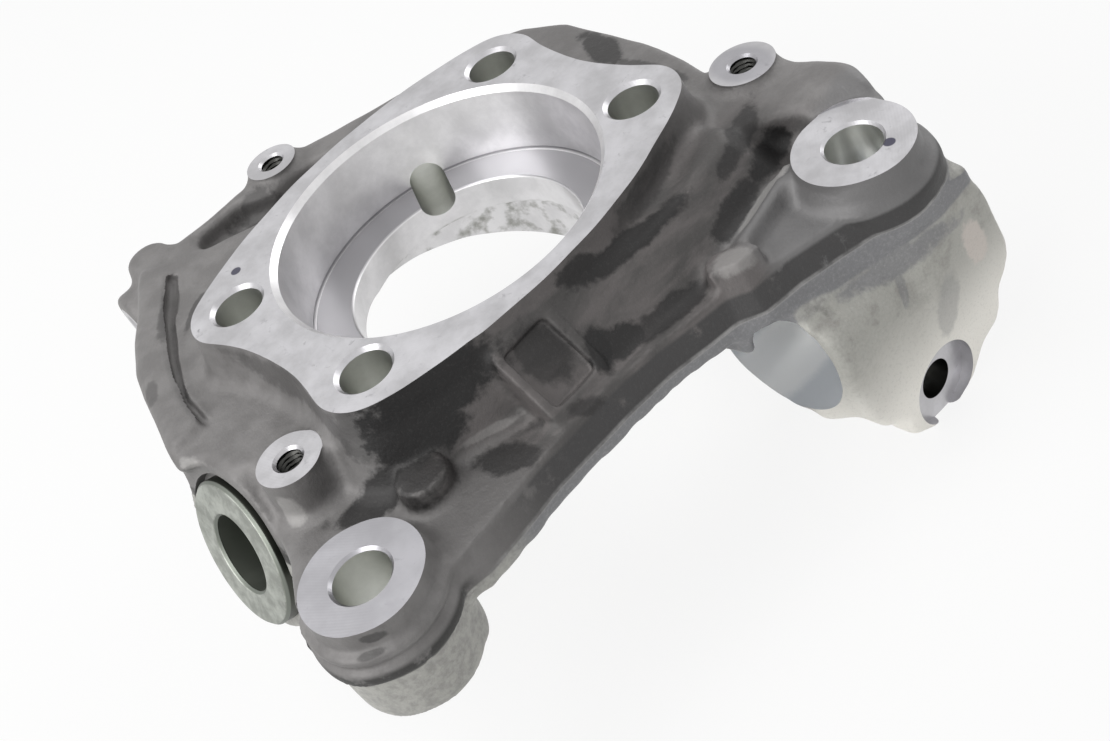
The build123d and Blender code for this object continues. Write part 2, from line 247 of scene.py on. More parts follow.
# Dome behind the upper lug: how it comes down to the lug, and where it swells
DOME_BLOCK = ((30, -100, -20), (100, -40, -8))
DOME_LEVEL = -15.0
DOME_RISE = 1.1
DOME_RING = 0.9
DOME_FALL = 0.6
DOME_FALL_Y = -76.0
DOME_FALL_X = (62, 72)
DOME_EVEN = 1.2
DOME_SWELL = (82.0, -57.0, -15.0)
DOME_CORE = 4.0
DOME_REACH = 16.0
DOME_HEIGHT = 2.0

# Recessed frame on the near wall
FRAME_PLACE = np.array([-21.0, -56.75, -12.25])
FRAME_TILT = math.atan2(15.5, 14.5)
FRAME_HALF = (9.0, 10.4)
FRAME_RIB = 2.2
FRAME_DEPTH = 1.9
FRAME_BASE = 6
FRAME_REACH = 15
FRAME_CORNER = 2.6
FRAME_INNER_CORNER = 1.4

# Widths of the fillets with which the small forms join the casting
COLLAR_JOIN = 2.4
NUB_JOIN = 1.5
RIDGE_JOIN = 1.0
GROOVE_EDGE = 0.6
FRAME_JOIN = 1.2
FRAME_EDGE = 0.9
WIRE_REACH = 5


# Meshes

def merged_arrays(node):
    """The CAD node's loose triangles merged into one closed skin: points in millimetres, and triangles."""
    work = bmesh.new()
    work.from_mesh(node.data)
    bmesh.ops.remove_doubles(work, verts=work.verts, dist=1e-6)
    skin = bpy.data.meshes.new("merged")
    work.to_mesh(skin)
    work.free()
    points = np.empty(len(skin.vertices) * 3, dtype=np.float32)
    skin.vertices.foreach_get("co", points)
    skin.calc_loop_triangles()
    corners = np.empty(len(skin.loop_triangles) * 3, dtype=np.int32)
    skin.loop_triangles.foreach_get("vertices", corners)
    bpy.data.meshes.remove(skin)
    return points.reshape(-1, 3) / MM, corners.reshape(-1, 3).astype(np.uint32)


def object_from(name, points, faces):
    """An object at the origin from points in millimetres and lists of corner numbers."""
    mesh = bpy.data.meshes.new(name)
    mesh.from_pydata((np.asarray(points) * MM).tolist(), [], faces)
    mesh.update()
    made = bpy.data.objects.new(name, mesh)
    bpy.context.scene.collection.objects.link(made)
    return made


def side_axes(out):
    """Two unit vectors that stand square to a direction and to each other."""
    helper = np.array([0.0, 0.0, 1.0]) if abs(out[2]) < 0.9 else np.array([1.0, 0.0, 0.0])
    first = np.cross(helper, out)
    first /= np.linalg.norm(first)
    return first, np.cross(out, first)


def turned(name, profile, centre, out, count=160, wobble=None):
    """A closed turned solid: each (radius, height) of the profile is carried once round the axis, so a
    point is centre + height * out + radius * (cos a * first + sin a * second). The ends close on the
    axis. wobble changes the radius as a function of angle and height."""
    out = np.asarray(out, dtype=float)
    first, second = side_axes(out)
    radius = np.array([r for r, h in profile])[:, None]
    height = np.array([h for r, h in profile])[:, None]
    angle = np.linspace(0.0, 2 * math.pi, count, endpoint=False)[None, :]
    if wobble is not None:
        radius = wobble(radius, height, angle)
    ring = (
        np.asarray(centre)
        + height[..., None] * out
        + (radius * np.cos(angle))[..., None] * first
        + (radius * np.sin(angle))[..., None] * second
    ).reshape(-1, 3)
    poles = [np.asarray(centre) + profile[end][1] * out for end in (0, -1)]
    number = np.arange(len(ring)).reshape(-1, count)
    after = np.roll(number, -1, axis=1)
    quads = np.stack([number[:-1], after[:-1], after[1:], number[1:]], -1).reshape(-1, 4)
    low, high = np.full(count, len(ring)), np.full(count, len(ring) + 1)
    bottom = np.stack([low, after[0], number[0]], -1)
    top = np.stack([high, number[-1], after[-1]], -1)
    faces = quads.tolist() + bottom.tolist() + top.tolist()
    return object_from(name, np.vstack([ring, poles]), faces)


def slab(name, low, high):
    """A closed box between two corners, for a flat machined cut."""
    x0, y0, z0 = low
    x1, y1, z1 = high
    points = [(x, y, z) for z in (z0, z1) for y in (y0, y1) for x in (x0, x1)]
    faces = [(0, 2, 3, 1), (4, 5, 7, 6), (0, 1, 5, 4), (2, 6, 7, 3), (0, 4, 6, 2), (1, 3, 7, 5)]
    return object_from(name, points, faces)


# Cast skin, as a distance field: negative inside the metal, positive outside, in millimetres

STEP_OF_GRID = openvdb.createLinearTransform(PITCH)


def field_of(points, triangles=None, quads=None):
    """The narrow-band distance field of a closed skin."""
    return openvdb.FloatGrid.createLevelSetFromPolygons(
        points.astype(np.float32),
        triangles=triangles,
        quads=quads,
        transform=STEP_OF_GRID,
        halfWidth=float(REACH),
    )


def moved_skin(grid, distance):
    """The field of the surface that lies at a distance outside the given field's surface, so moving a
    skin out and back in fills its inner corners, and in and back out rounds its outer edges."""
    points, quads = grid.convertToQuads(distance)
    return field_of(points, quads=quads)


class Box:
    """The block of grid points that covers the casting, with their places in millimetres."""

    def __init__(self, low, high, spare):
        """low and high are corners in millimetres, and spare is how many grid steps lie round them."""
        self.start = np.floor(np.array(low) / PITCH - spare).astype(int)
        self.size = np.ceil(np.array(high) / PITCH + spare).astype(int) - self.start + 1
        lines = [(self.start[i] + np.arange(self.size[i])) * PITCH for i in range(3)]
        self.x = lines[0][:, None, None].astype(np.float32)
        self.y = lines[1][None, :, None].astype(np.float32)
        self.z = lines[2][None, None, :].astype(np.float32)

    def part(self, low, high):
        """A smaller box of the same grid between two corners, and where it lies in the whole."""
        first = np.maximum(np.floor(np.array(low) / PITCH).astype(int) - self.start, 0)
        last = np.minimum(np.ceil(np.array(high) / PITCH).astype(int) - self.start, self.size - 1) + 1
        where = tuple(slice(int(a), int(b)) for a, b in zip(first, last))
        small = object.__new__(Box)
        small.start = self.start + first
        small.size = last - first
        small.x = self.x[where[0]]
        small.y = self.y[:, where[1]]
        small.z = self.z[:, :, where[2]]
        return small, where

    def read(self, grid):
        """The values of a grid inside the box."""
        values = np.zeros(self.size, dtype=np.float32)
        grid.copyToArray(values, ijk=tuple(int(i) for i in self.start))
        return values

    def write(self, values):
        """A grid that holds the box's values, with open air all round it."""
        grid = openvdb.FloatGrid(REACH * PITCH)
        grid.copyFromArray(np.ascontiguousarray(values), ijk=tuple(int(i) for i in self.start))
        grid.transform = STEP_OF_GRID
        grid.gridClass = openvdb.GridClass.LEVEL_SET
        return grid


def rod(box, point, out, radius, near, far, spread=0.0):
    """Distance field of a round rod: the larger of the distance to its side and to its two end planes.
    near and far are heights along out, and spread is how much the radius grows per millimetre."""
    across_x = box.x - point[0]
    across_y = box.y - point[1]
    across_z = box.z - point[2]
    height = across_x * out[0] + across_y * out[1] + across_z * out[2]
    square = across_x**2 + across_y**2 + across_z**2 - height**2
    side = np.sqrt(np.maximum(square, 0.0)) - radius - spread * height
    return np.maximum(np.maximum(side, near - height), height - far)


def blurred(values, sigma):
    """The field averaged along each axis with a bell-shaped weight, which rounds its edges."""
    reach = int(math.ceil(3 * sigma))
    steps = np.arange(-reach, reach + 1)
    weights = np.exp(-(steps**2) / (2 * sigma**2))
    weights /= weights.sum()
    for axis in range(3):
        padded = np.pad(values, [(reach, reach) if a == axis else (0, 0) for a in range(3)], mode="edge")
        total = np.zeros_like(values)
        for step, weight in zip(steps, weights):
            part = [slice(None)] * 3
            part[axis] = slice(reach + step, reach + step + values.shape[axis])
            total += weight * padded[tuple(part)]
        values = total
    return values


def slow_waves(box, length, seed):
    """A smooth uneven field between about -1 and 1: a sum of sines that run in scattered directions."""
    dice = np.random.default_rng(seed)
    total = np.zeros(tuple(box.size), dtype=np.float32)
    count = 9
    for _ in range(count):
        way = dice.normal(size=3)
        way *= 2 * math.pi / (length * dice.uniform(0.7, 1.6) * np.linalg.norm(way))
        total += np.sin(way[0] * box.x + way[1] * box.y + way[2] * box.z + dice.uniform(0, 2 * math.pi))
    return total / math.sqrt(count)


def wire(box, points):
    """Distance to a bent wire: the least distance to any of its straight runs, less the wire's radius,
    which changes evenly along each run."""
    best = math.inf
    for begin, finish in zip(points[:-1], points[1:]):
        run = [b - a for a, b in zip(begin, finish)]
        shift = [line - c for line, c in zip((box.x, box.y, box.z), begin)]
        along = sum(s * r for s, r in zip(shift, run)) / sum(r * r for r in run[:3])
        along = np.clip(along, 0.0, 1.0)
        gap = np.sqrt(sum((s - along * r) ** 2 for s, r in zip(shift, run)))
        best = np.minimum(best, gap - begin[3] - along * run[3])
    return best


def outline_distance(across, up, points):
    """Signed distance in a plane to a closed outline: the least distance to any side, negative where a
    line drawn from the point crosses the outline an odd number of times."""
    shape = np.broadcast_shapes(across.shape, up.shape)
    best = np.full(shape, 1e9, dtype=np.float32)
    inside = np.zeros(shape, dtype=bool)
    for (x0, y0), (x1, y1) in zip(points, points[1:] + points[:1]):
        run_x, run_y = x1 - x0, y1 - y0
        along = np.clip(((across - x0) * run_x + (up - y0) * run_y) / (run_x**2 + run_y**2), 0.0, 1.0)
        best = np.minimum(best, (across - x0 - along * run_x) ** 2 + (up - y0 - along * run_y) ** 2)
        if y0 != y1:
            reach = x0 + (up - y0) * run_x / run_y
            inside ^= ((up > y0) != (up > y1)) & (across < reach)
    return np.where(inside, -1.0, 1.0) * np.sqrt(best)


def turned_field(box, centre, profile):
    """Distance field of a form turned about an upright axis, from its outline in radius and height."""
    radius = np.sqrt((box.x - centre[0]) ** 2 + (box.y - centre[1]) ** 2)
    side = profile[1:-1]
    return outline_distance(radius, box.z, side + tuple((-r, z) for r, z in reversed(side)))


def smooth_step(value, low, high):
    """0 up to low, 1 from high on, and an even curve between."""
    share = np.clip((value - low) / (high - low), 0.0, 1.0)
    return share * share * (3 - 2 * share)


def soft_union(first, second, width):
    """The nearer of two fields, with the corner between them filled: where they differ by less than the
    width they are mixed by a share s, less width * s * (1 - s)."""
    share = np.clip(0.5 + 0.5 * (second - first) / width, 0.0, 1.0)
    return second * (1 - share) + first * share - width * share * (1 - share)


def soft_cut(first, second, width):
    """The first field with the second taken away, with the edge between them rounded over a width."""
    return -soft_union(-first, second, width)


UP = np.array([0.0, 0.0, 1.0])


def plugs(box):
    """Round plugs that fill every machined hole, so that the fillets don't creep into it."""
    back = (-BACK_X * box.x + BACK_Y * box.y - (box.z - BACK_LEVEL)) / math.sqrt(1 + BACK_X**2 + BACK_Y**2)
    ledge = (0, 0, -SEAT_DEPTH)
    near_ear = (CROSS_X, FORK_NEAR, CROSS_Z)
    far_ear = (CROSS_X, FORK_FAR, CROSS_Z)
    along_x = (1.0, 0.0, 0.0)
    along_y = (0.0, 1.0, 0.0)
    fill = [
        rod(box, (0, 0, 0), UP, SEAT_RADIUS + SEAT_SPARE, -SEAT_DEPTH - SPARE, 0.0),
        np.maximum(rod(box, ledge, UP, THROUGH_RADIUS + BARREL_SPARE, -DEEP, SPARE), back),
        rod(box, ledge, SENSOR_OUT, SENSOR_RADIUS + FINE_SPARE, SENSOR_START, SENSOR_END),
        rod(box, LINK_FACE, LINK_OUT, LINK_HOLE_RADIUS + FINE_SPARE, -LINK_HOLE_DEPTH - SPARE, 0.0),
        rod(box, (FORK_LEFT, FORK_Y, FORK_Z), along_x, FORK_RADIUS + SPARE, 0.0, FORK_BRIDGE - FORK_LEFT),
        rod(box, near_ear, along_y, SPOT_RADIUS - SPARE / 2, 0.0, SPOT_DEPTH + SPARE),
        rod(box, near_ear, along_y, CROSS_RADIUS + FINE_SPARE, 0.0, EAR_DEPTH),
        rod(box, far_ear, along_y, CROSS_RADIUS + FINE_SPARE, -EAR_DEPTH, 0.0),
        rod(box, (*LOWER_LUG, 0), UP, LUG_HOLE_RADIUS + SPARE, STEM_BOTTOM, LUG_LEVEL),
        rod(box, (*UPPER_LUG, 0), UP, LUG_HOLE_RADIUS + SPARE, WEB_BACK, LUG_LEVEL),
    ]
    for bolt in BOLTS:
        fill.append(rod(box, (*bolt, 0), UP, BOLT_RADIUS + SPARE, WEB_BACK, 0.0))
    for x, y, radius in BOSSES:
        fill.append(rod(box, (x, y, BOSS_LEVEL), UP, THREAD_ROOT + SPARE, -THREAD_DEPTH - SPARE, 0.0))
    return fill


def shaved(box, values):
    """The blocky skin brought to the pattern maker's slopes, before any corner is rounded."""
    # The dome beside the upper lug comes down to just under the lug's face
    dome, where = box.part(*DOME_BLOCK)
    away = np.sqrt((dome.x - UPPER_LUG[0]) ** 2 + (dome.y - UPPER_LUG[1]) ** 2)
    fall = DOME_FALL * np.maximum(DOME_FALL_Y - dome.y, 0.0) * smooth_step(dome.x, *DOME_FALL_X)
    rise = DOME_RISE * np.maximum(away - LUG_FACE_RADIUS - DOME_RING, 0.0)
    values[where] = np.maximum(values[where], (dome.z - DOME_LEVEL - rise + fall) / DOME_EVEN)

    # The fork's near wall leans out from the rail's flank down to its foot, and swells over the bore
    wall, where = box.part(*WALL_BLOCK)
    top_y = np.interp(wall.x, *zip(*WALL_TOP)).astype(np.float32)
    below = WALL_TOP_LEVEL - wall.z
    lean = smooth_step(below, 0.0, WALL_TOP_LEVEL - WALL_FOOT_LEVEL)
    skin_y = top_y + (FORK_NEAR - top_y) * lean - WALL_STEP * smooth_step(below, 0.0, WALL_STEP_RUN)
    over = np.where(wall.z > WALL_TOP_LEVEL, RAIL_OVER_BORE, WALL_OVER_BORE)
    tube = np.sqrt((wall.y - FORK_Y) ** 2 + (wall.z - FORK_Z) ** 2) - FORK_RADIUS - over
    values[where] = np.maximum(values[where], np.minimum(skin_y - wall.y, tube))

    # The plate beside the upper lug is flat
    plate, where = box.part(*PLATE_BLOCK)
    bank = PLATE_SLOPE * np.maximum(plate.y - PLATE_EDGE, 0.0)
    foot = (plate.z - WEB_LEVEL - bank) / math.hypot(1.0, PLATE_SLOPE)
    foot = foot - PLATE_FADE * smooth_step(np.abs(plate.x - PLATE_MIDDLE), *PLATE_HALF)
    values[where] = np.maximum(values[where], foot)

    # The fork's tube thins out to its bore at the left end
    lip, where = box.part(*LIP_BLOCK)
    around = np.sqrt((lip.y - FORK_Y) ** 2 + (lip.z - FORK_Z) ** 2)
    limit = LIP_RADIUS + LIP_SPREAD * np.maximum(lip.x - FORK_LEFT, 0.0)
    limit = limit + LIP_FREE * (smooth_step(-lip.y, *LIP_WALL) + smooth_step(lip.z, *LIP_WEB))
    values[where] = np.maximum(values[where], np.where(lip.x < LIP_END, around - limit, -LIP_FREE))
    return values


def lug_block(box, centre):
    """The part of the grid round a lug, and where it lies in the whole."""
    low, high = ([c + side * LUG_REACH for c in centre] + [z] for side, z in zip((-1, 1), LUG_SPAN))
    return box.part(low, high)


def parted(box, values):
    """The crisp forms that follow the parting line: the near edge of the web falls to it instead of
    standing square, and the lower lug keeps its turned steps on its free side."""
    edge, where = box.part(*RAIL_BLOCK)
    plan = outline_distance(edge.x, edge.y, WEB_OUTLINE)
    plan = plan - RAIL_FREE * smooth_step(edge.x, *RAIL_END)
    slope = (plan + EDGE_SLOPE * (edge.z - PARTING)) / math.hypot(1.0, EDGE_SLOPE)
    for x, y in (LOWER_LUG, UPPER_LUG):
        slope = np.minimum(slope, np.sqrt((edge.x - x) ** 2 + (edge.y - y) ** 2) - LUG_RING_RADIUS)
    values[where] = np.maximum(values[where], slope)
    x, y = LOWER_LUG
    lug, where = lug_block(box, LOWER_LUG)
    free = smooth_step((lug.x - x) * FREE_SIDE[0] + (lug.y - y) * FREE_SIDE[1], *FREE_BLEND)
    steps = turned_field(lug, LOWER_LUG, LOWER_LUG_PROFILE)
    values[where] = values[where] * (1 - free) + np.clip(steps, -REACH * PITCH, REACH * PITCH) * free
    return values


def softened(box, values, low, high, sigma):
    """A block of the field blurred until its corners flow into each other, fading out at its sides."""
    part, where = box.part(low, high)
    share = 1.0
    for line, first, last in zip((part.x, part.y, part.z), low, high):
        share = share * smooth_step(line, first, first + SOFT_FADE)
        share = share * (1 - smooth_step(line, last - SOFT_FADE, last))
    values[where] = values[where] * (1 - share) + blurred(values[where], sigma / PITCH) * share
    return values


def wire_block(box, points):
    """The part of the grid round a bent wire, and where it lies in the whole."""
    places = np.array(points)[:, :3]
    return box.part(places.min(axis=0) - WIRE_REACH, places.max(axis=0) + WIRE_REACH)


def cast_details(box, values):
    """The casting's small forms, joined on with their own tight fillets."""
    for centre, profile in ((LOWER_LUG, LOWER_LUG_PROFILE), (UPPER_LUG, UPPER_LUG_PROFILE)):
        lug, where = lug_block(box, centre)
        values[where] = soft_union(values[where], turned_field(lug, centre, profile), LUG_JOIN)
    for x, y, long, wide, turn, top in PADS:
        pad, where = box.part((x - PAD_REACH, y - PAD_REACH, -30), (x + PAD_REACH, y + PAD_REACH, -10))
        turn = math.radians(turn)
        along = (pad.x - x) * math.cos(turn) + (pad.y - y) * math.sin(turn)
        aside = (pad.y - y) * math.cos(turn) - (pad.x - x) * math.sin(turn)
        side = np.hypot(np.maximum(np.abs(along) - (long - wide), 0.0), aside) - wide
        side = side + PAD_DRAFT * (pad.z - top)
        values[where] = soft_union(values[where], np.maximum(side, pad.z - top), PAD_JOIN)

    # The casting rises round the upper half of the bushing's flange
    ring, where = box.part(HOUSING_FACE - 30, HOUSING_FACE + 30)
    collar = rod(ring, HOUSING_FACE, BUSHING_OUT, COLLAR_RADIUS, -COLLAR_DEPTH, COLLAR_HEIGHT)
    up = np.array([BUSHING_OUT[2], 0.0, -BUSHING_OUT[0]])
    level = sum((line - c) * u for line, c, u in zip((ring.x, ring.y, ring.z), HOUSING_FACE, up))
    values[where] = soft_union(values[where], np.maximum(collar, COLLAR_LEVEL - level), COLLAR_JOIN)

    # Nub round the cross bolt's hole, inside the near wall
    boss, where = box.part((CROSS_X - 14, -92, CROSS_Z - 14), (CROSS_X + 14, -76, CROSS_Z + 14))
    nub = rod(boss, (CROSS_X, FORK_NEAR, CROSS_Z), (0.0, 1.0, 0.0), NUB_RADIUS, *NUB_RUN)
    values[where] = soft_union(values[where], nub, NUB_JOIN)
    for ridge in (LUG_RIDGE, WEB_RIDGE):
        near, where = wire_block(box, ridge)
        values[where] = soft_union(values[where], wire(near, ridge), RIDGE_JOIN)
    near, where = wire_block(box, GROOVE)
    values[where] = soft_cut(values[where], wire(near, GROOVE), GROOVE_EDGE)

    # Recessed frame on the near wall, in its own tilted axes
    near, where = box.part(FRAME_PLACE - FRAME_REACH, FRAME_PLACE + FRAME_REACH)
    shift_y = near.y - FRAME_PLACE[1]
    shift_z = near.z - FRAME_PLACE[2]
    across = near.x - FRAME_PLACE[0] + 0 * shift_y + 0 * shift_z
    up = shift_y * math.cos(FRAME_TILT) + shift_z * math.sin(FRAME_TILT) + 0 * across
    out = shift_z * math.cos(FRAME_TILT) - shift_y * math.sin(FRAME_TILT) + 0 * across

    def plate(shrink, corner):
        """Distance to the frame's rounded rectangle, made smaller all round."""
        wide = np.maximum(np.abs(across) - FRAME_HALF[0] + shrink + corner, 0.0)
        tall = np.maximum(np.abs(up) - FRAME_HALF[1] + shrink + corner, 0.0)
        return np.hypot(wide, tall) - corner

    block = np.maximum(np.maximum(plate(0.0, FRAME_CORNER), out), -out - FRAME_BASE)
    hollow = np.maximum(plate(FRAME_RIB, FRAME_INNER_CORNER), -out - FRAME_DEPTH)
    raised = soft_union(values[where], block, FRAME_JOIN)
    values[where] = soft_cut(raised, hollow, FRAME_EDGE)
    return values


def cast_field():
    """The raw casting before machining: the CAD skin with its machined holes filled, its slopes shaved,
    its inner corners filled and its outer edges rounded, its small forms added, and spare metal left over
    each machined face."""
    points, triangles = merged_arrays(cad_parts["knuckle_casting"])
    low, high = points.min(axis=0) + BOX_MARGIN, points.max(axis=0) - BOX_MARGIN
    box = Box(low, high, REACH + 2)
    values = box.read(field_of(points, triangles=triangles))
    for plug in plugs(box):
        values = np.minimum(values, plug)
    values = shaved(box, values)
    grown = moved_skin(box.write(values), INNER_FILLET)
    shrunk = moved_skin(grown, -INNER_FILLET - OUTER_ROUND)
    values = blurred(box.read(moved_skin(shrunk, OUTER_ROUND)), EDGE_BLUR / PITCH)
    values = softened(box, values, *SOFT_BLOCK, SOFT_BLUR)
    away = np.sqrt(sum((line - c) ** 2 for line, c in zip((box.x, box.y, box.z), DOME_SWELL)))
    values = values - DOME_HEIGHT * (1 - smooth_step(away, DOME_CORE, DOME_REACH))
    values = blurred(cast_details(box, values), DETAIL_BLUR / PITCH)
    values = parted(box, values) + SKIN_WAVE * slow_waves(box, WAVE_LENGTH, WAVE_SEED)

    # Spare metal over the machined faces, straight up from just below each of them
    heights = box.z.ravel()
    below = int(np.argmin(np.abs(heights - LIP_START)))
    above = heights[below + 1:] - heights[below]
    values[:, :, below + 1:] = values[:, :, below][:, :, None] + LIP_DRAFT * above[None, None, :]
    for x, y, radius in BOSSES:
        cap = rod(box, (x, y, BOSS_LEVEL), UP, radius, LIP_START, 1.5, spread=-BOSS_SPREAD)
        values = np.minimum(values, cap)
    for line, first, last in ((box.x, low[0], high[0]), (box.y, low[1], high[1]), (box.z, low[2], 5.0)):
        values = np.maximum(values, np.maximum(first - line, line - last))
    return box, values


def thread_wobble(radius, height, angle):
    """A helical thread: the radius follows a triangle wave of height plus one pitch per turn."""
    turn = height / THREAD_PITCH + angle / (2 * math.pi)
    wave = np.abs(2 * (turn - np.floor(turn)) - 1)
    threaded = (height < THREAD_FROM) & (height > -THREAD_DEPTH + 1)
    return np.where(threaded, THREAD_CREST + (THREAD_ROOT - THREAD_CREST) * wave, radius)


def machining_cutters():
    """The solids that machining takes away, each with the true sizes of its seat, bore or face. A profile
    gives radius and height, from the bottom of the cut outwards."""
    half_x, half_y = FACE_HALF
    over = 2.0
    seat = [
        (STEP_RADIUS, -DEEP - 10),
        (STEP_RADIUS, THROUGH_STEP - 1.2),
        (THROUGH_RADIUS, THROUGH_STEP),
        (THROUGH_RADIUS, -SEAT_DEPTH - 0.5),
        (THROUGH_RADIUS + 0.5, -SEAT_DEPTH),
    ]
    seat += [(SEAT_RADIUS + aside, -SEAT_DEPTH + height) for aside, height in SEAT_RELIEF]
    seat += [(SEAT_RADIUS, -SEAT_CHAMFER), (SEAT_RADIUS + SEAT_CHAMFER + over, over)]
    cutters = [
        slab("cut_face", (-half_x, -half_y, 0), (half_x, half_y, 2 * CLEAR)),
        turned("cut_seat", seat, (0, 0, 0), UP, 256),
    ]
    bolt = [(BOLT_RADIUS, -DEEP), (BOLT_RADIUS, -BOLT_CHAMFER), (BOLT_RADIUS + BOLT_CHAMFER + over, over)]
    cutters += [turned("cut_bolt", bolt, (*place, 0), UP, 96) for place in BOLTS]
    for place, bottom in ((LOWER_LUG, -40.0), (UPPER_LUG, -20.0)):
        lug = [
            (LUG_HOLE_RADIUS, bottom),
            (LUG_HOLE_RADIUS, -LUG_HOLE_CHAMFER),
            (LUG_HOLE_RADIUS + LUG_HOLE_CHAMFER, 0.0),
            (LUG_FACE_RADIUS + 0.5, 0.0),
            (LUG_FACE_RADIUS + 0.5, CLEAR),
        ]
        cutters.append(turned("cut_lug", lug, (*place, LUG_LEVEL), UP, 128))
    rows = np.arange(-THREAD_DEPTH, -THREAD_LEAD, THREAD_PITCH / THREAD_ROWS)
    for x, y, radius in BOSSES:
        boss = [(THREAD_CREST, float(row)) for row in rows]
        boss += [(THREAD_CREST, -THREAD_MOUTH), (THREAD_CREST + THREAD_MOUTH, 0.0)]
        boss += [(radius + 0.4, 0.0), (radius + 0.4, CLEAR / 2)]
        cutters.append(turned("cut_boss", boss, (x, y, BOSS_LEVEL), UP, 72, thread_wobble))
    sensor = [(SENSOR_RADIUS, SENSOR_START + SPARE), (SENSOR_RADIUS, 100.0)]
    housing = [
        (BUSHING_SLEEVE_RADIUS, -BUSHING_SLEEVE_DEPTH),
        (BUSHING_SLEEVE_RADIUS, 0.0),
        (HOUSING_CUT, 0.0),
        (HOUSING_CUT, 20.0),
    ]
    link = [
        (LINK_HOLE_RADIUS, -LINK_HOLE_DEPTH),
        (LINK_HOLE_RADIUS, -LINK_CHAMFER),
        (LINK_HOLE_RADIUS + LINK_CHAMFER, 0.0),
        (LINK_RADIUS + 2.5, 0.0),
        (LINK_RADIUS + 2.5, 2 * CLEAR),
    ]
    fork = [(FORK_RADIUS, -DEEP), (FORK_RADIUS, 8.0)]
    cross = [(CROSS_RADIUS, -DEEP), (CROSS_RADIUS, -SPOT_DEPTH)]
    cross += [(SPOT_RADIUS, -SPOT_DEPTH), (SPOT_RADIUS, CLEAR)]
    return cutters + [
        turned("cut_sensor", sensor, (0, 0, -SEAT_DEPTH), SENSOR_OUT, 96),
        turned("cut_housing", housing, HOUSING_FACE, BUSHING_OUT, 160),
        turned("cut_link", link, LINK_FACE, LINK_OUT, 128),
        turned("cut_fork", fork, (FORK_LEFT, FORK_Y, FORK_Z), (-1.0, 0.0, 0.0), 192),
        turned("cut_cross", cross, (CROSS_X, FORK_NEAR, CROSS_Z), (0.0, -1.0, 0.0), 128),
    ]


# Colours and finishes

def linear(code):
    """An sRGB hex colour as linear red, green, blue and alpha."""
    parts = [int(code[i:i + 2], 16) / 255 for i in (1, 3, 5)]
    return tuple(p / 12.92 if p <= 0.04045 else ((p + 0.055) / 1.055) ** 2.4 for p in parts) + (1.0,)


def put(tree, kind, inputs=(), out=0, **settings):
    """Adds a shader node with its settings, sets or links its inputs by name or number, and gives back
    one of its outputs."""
    made = tree.nodes.new("ShaderNode" + kind)
    for name, value in settings.items():
        setattr(made, name, value)
    for name, value in dict(inputs).items():
        if isinstance(value, bpy.types.NodeSocket):
            tree.links.new(value, made.inputs[name])
        else:
            made.inputs[name].default_value = value
    return made.outputs[out] if made.outputs else None


def bare_tree(owner):
    """The emptied node tree of a material or a world."""
    owner.use_nodes = True
    owner.node_tree.nodes.clear()
    return owner.node_tree


def material_from(name, build):
    """A material whose shader takes the inputs that build works out from the places on the piece."""
    made = bpy.data.materials.new(name)
    tree = bare_tree(made)
    place = put(tree, "TexCoord", out="Object")
    shader = put(tree, "BsdfPrincipled", build(tree, place))
    put(tree, "OutputMaterial", {"Surface": shader})
    return made


def zone(tree, *parts):
    """A mask between 0 and 1: its parts multiplied. A part is a mask or a number, or it is a value with
    two numbers, and then goes smoothly from 0 at the first number to 1 at the second."""
    mask = None
    for part in parts:
        if isinstance(part, tuple):
            value, start, full = part
            inputs = {"Value": value, "From Min": start, "From Max": full}
            part = put(tree, "MapRange", inputs, interpolation_type="SMOOTHSTEP")
        mask = part if mask is None else put(tree, "Math", {0: mask, 1: part}, operation="MULTIPLY")
    return mask


def layered(tree, colour, *layers):
    """Colours laid one over the other: each layer's mask says how far its colour covers those below it."""
    colour = linear(colour) if isinstance(colour, str) else colour
    for mask, over in layers:
        over = linear(over) if isinstance(over, str) else over
        colour = put(tree, "Mix", {0: mask, 6: colour, 7: over}, 2, data_type="RGBA")
    return colour


